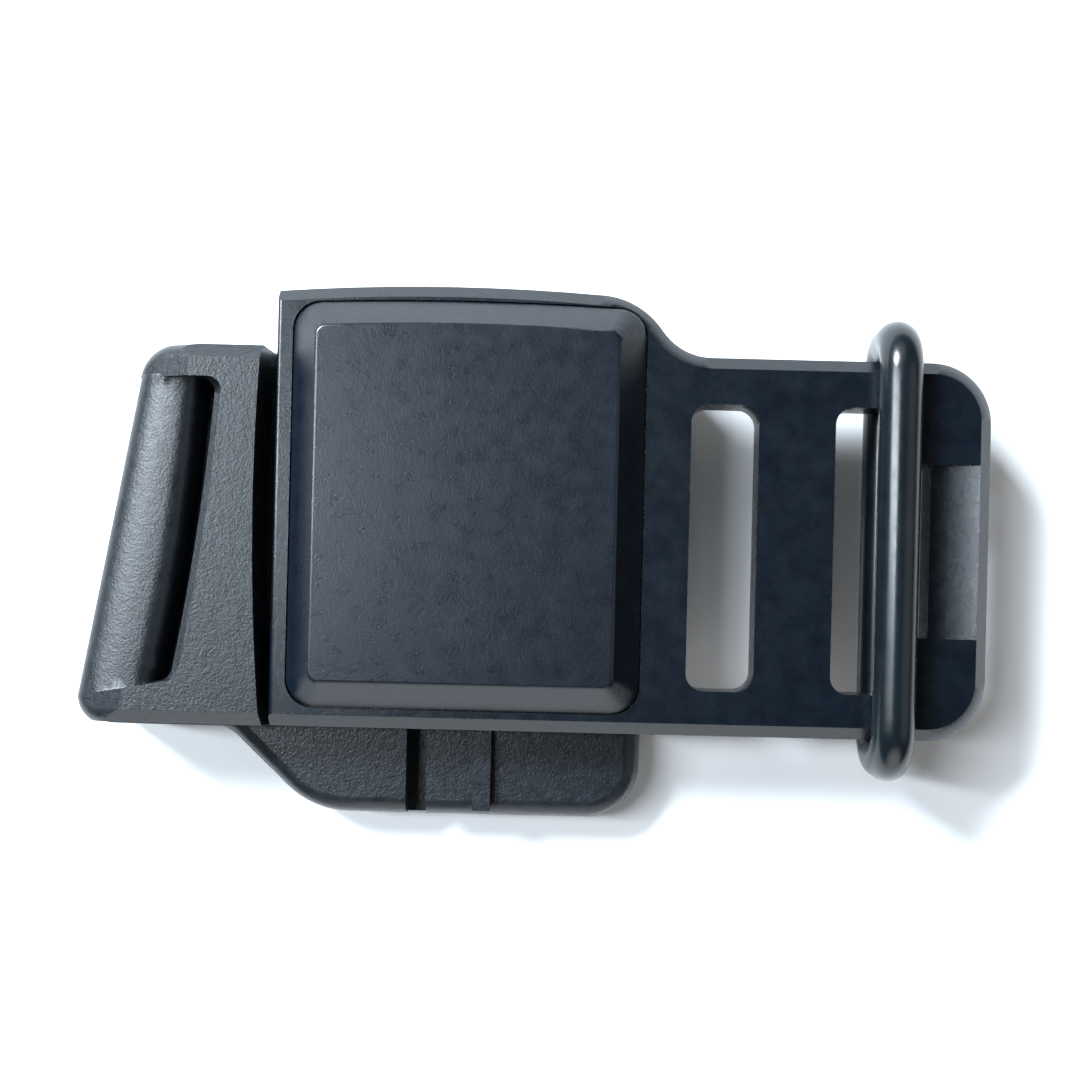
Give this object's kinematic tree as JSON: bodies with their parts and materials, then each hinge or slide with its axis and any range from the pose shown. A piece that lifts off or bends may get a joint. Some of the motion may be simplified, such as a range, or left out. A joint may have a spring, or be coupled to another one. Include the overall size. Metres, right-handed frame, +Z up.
{
  "type": "magnetic strap buckle",
  "caption": "Low-profile magnetic slide buckle for 15 mm webbing: an anchor half with a sewn-strap bar and an adjuster half with a ladder frame and a rubber strap keeper.",
  "frame": {"origin": "centre of the bounding box of the closed buckle, on its underside", "axes": "+X along the strap from the sewn end to the adjustable end, +Y from the lower finger tab to the upper one, +Z up through the raised cap"},
  "size_m": [0.0515, 0.0303, 0.0095],
  "materials": {
    "anchor_plastic": "black, fine spark-eroded texture",
    "adjuster_plastic": "black, fine spark-eroded texture",
    "cap_plastic": "black, fine spark-eroded texture",
    "keeper_rubber": "black, smooth satin",
    "magnet_plating": "nickel plate",
    "flux_steel": "zinc-plated sheet"
  },
  "bodies": {
    "anchor": {"anchor_body": "anchor_plastic", "anchor_magnet_cover": "anchor_plastic", "anchor_flux_plate": "flux_steel", "anchor_magnet_left": "magnet_plating", "anchor_magnet_right": "magnet_plating"},
    "adjuster": {"adjuster_body": "adjuster_plastic", "magnet_cap": "cap_plastic", "adjuster_flux_plate": "flux_steel", "adjuster_magnet_left": "magnet_plating", "adjuster_magnet_right": "magnet_plating", "strap_keeper_ring": "keeper_rubber"}
  },
  "joints": [
    {"name": "release_slide", "type": "slide", "parent": "anchor", "child": "adjuster", "axis": [0, -1, 0], "range_m": [0, 0.032]}
  ]
}
